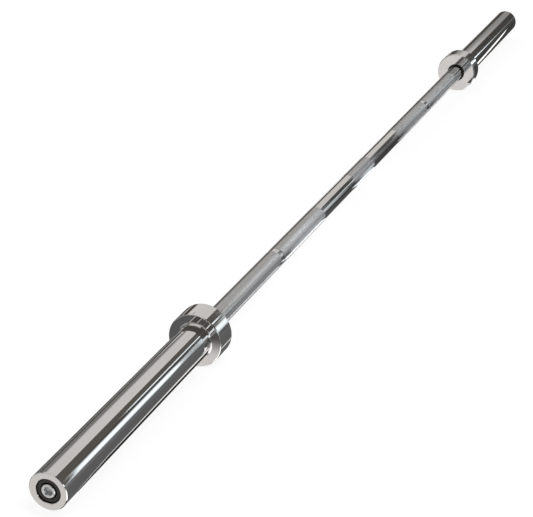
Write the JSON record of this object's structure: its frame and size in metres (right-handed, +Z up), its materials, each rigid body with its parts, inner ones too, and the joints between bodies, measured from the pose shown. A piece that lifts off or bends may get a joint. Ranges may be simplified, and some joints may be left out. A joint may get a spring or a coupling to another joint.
{
  "type": "olympic barbell",
  "caption": "Long chromed steel bar with a knurled and polished grip, and at each end a wide-collared sleeve that spins on bushings and carries weight plates.",
  "frame": {"origin": "middle of the bar, on its axis", "axes": "+X along the bar towards the right sleeve, +Z up when the bar lies on a floor or in a rack"},
  "size_m": [2.2, 0.0786, 0.0786],
  "materials": {
    "shaft_chrome": "hard chrome, knurled bands matte and plain bands polished",
    "sleeve_chrome": "polished chrome with a satin turned end face",
    "collar_chrome": "polished chrome",
    "bronze": "oiled sintered bronze",
    "washer_steel": "plain ground steel",
    "seal_rubber": "matt moulded rubber",
    "black_steel": "black oxide, satin",
    "bolt_zinc": "bright zinc plating"
  },
  "bodies": {
    "bar": {"shaft": "shaft_chrome", "left_inner_thrust_washer": "washer_steel", "left_outer_thrust_washer": "washer_steel", "left_retaining_cap": "black_steel", "left_lock_washer": "washer_steel", "left_end_bolt": "bolt_zinc", "right_inner_thrust_washer": "washer_steel", "right_outer_thrust_washer": "washer_steel", "right_retaining_cap": "black_steel", "right_lock_washer": "washer_steel", "right_end_bolt": "bolt_zinc"},
    "left_spinning_sleeve": {"left_sleeve_tube": "sleeve_chrome", "left_sleeve_collar": "collar_chrome", "left_inner_bushing": "bronze", "left_outer_bushing": "bronze", "left_dust_seal": "seal_rubber"},
    "right_spinning_sleeve": {"right_sleeve_tube": "sleeve_chrome", "right_sleeve_collar": "collar_chrome", "right_inner_bushing": "bronze", "right_outer_bushing": "bronze", "right_dust_seal": "seal_rubber"}
  },
  "joints": [
    {"name": "left_sleeve_spin", "type": "hinge", "parent": "bar", "child": "left_spinning_sleeve", "pos_m": [-0.87, 0, 0], "axis": [1, 0, 0], "continuous": true},
    {"name": "right_sleeve_spin", "type": "hinge", "parent": "bar", "child": "right_spinning_sleeve", "pos_m": [0.87, 0, 0], "axis": [1, 0, 0], "continuous": true}
  ]
}
